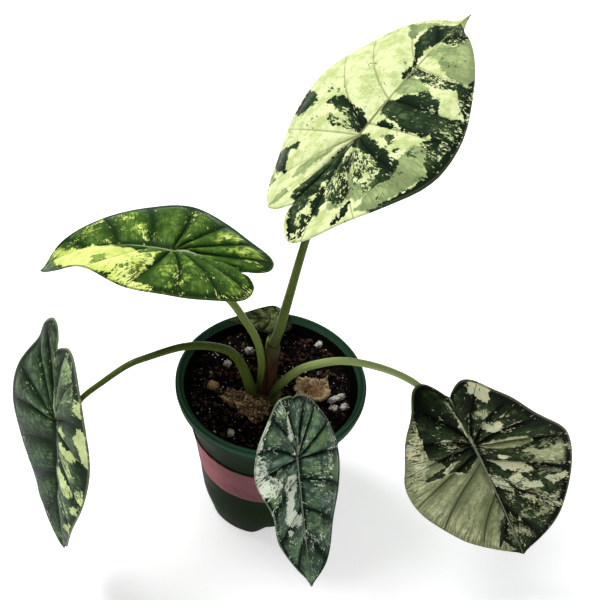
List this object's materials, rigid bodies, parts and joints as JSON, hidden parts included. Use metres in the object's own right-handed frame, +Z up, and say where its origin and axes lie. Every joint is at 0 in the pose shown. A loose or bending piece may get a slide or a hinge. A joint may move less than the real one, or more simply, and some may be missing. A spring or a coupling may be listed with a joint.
{
  "type": "potted variegated dragon scale alocasia",
  "caption": "Young aroid house plant in a round nursery pot: heart-shaped, quilted, cream-marbled leaves on arching stalks over dark soil, for display.",
  "frame": {"origin": "centre of the pot's base, on the surface that it stands on", "axes": "+Z up; -Y towards the pictured side, +X to the right of it"},
  "size_m": [0.3315, 0.2345, 0.3143],
  "materials": {
    "pot_green": "satin",
    "soil_brown": "rough",
    "label_pink": "matte",
    "crown_brown": "rough",
    "stalk_green": "satin",
    "blade_green": "satin",
    "coir_brown": "rough",
    "bark_tan": "rough",
    "pumice_white": "rough"
  },
  "bodies": {
    "root": {"pot": "pot_green", "soil": "soil_brown", "label": "label_pink", "crown": "crown_brown", "stalk_top": "stalk_green", "blade_top": "blade_green", "stalk_left": "stalk_green", "blade_left": "blade_green", "stalk_far_left": "stalk_green", "blade_far_left": "blade_green", "stalk_front": "stalk_green", "blade_front": "blade_green", "stalk_right": "stalk_green", "blade_right": "blade_green", "stalk_small": "stalk_green", "blade_small": "blade_green", "coir_block": "coir_brown", "bark_chip": "bark_tan", "curled_bark": "bark_tan", "pumice_sliver": "pumice_white", "pumice_1": "pumice_white", "pumice_2": "pumice_white", "pumice_3": "pumice_white", "pumice_4": "pumice_white", "pumice_5": "pumice_white", "pumice_6": "pumice_white"}
  },
  "joints": []
}
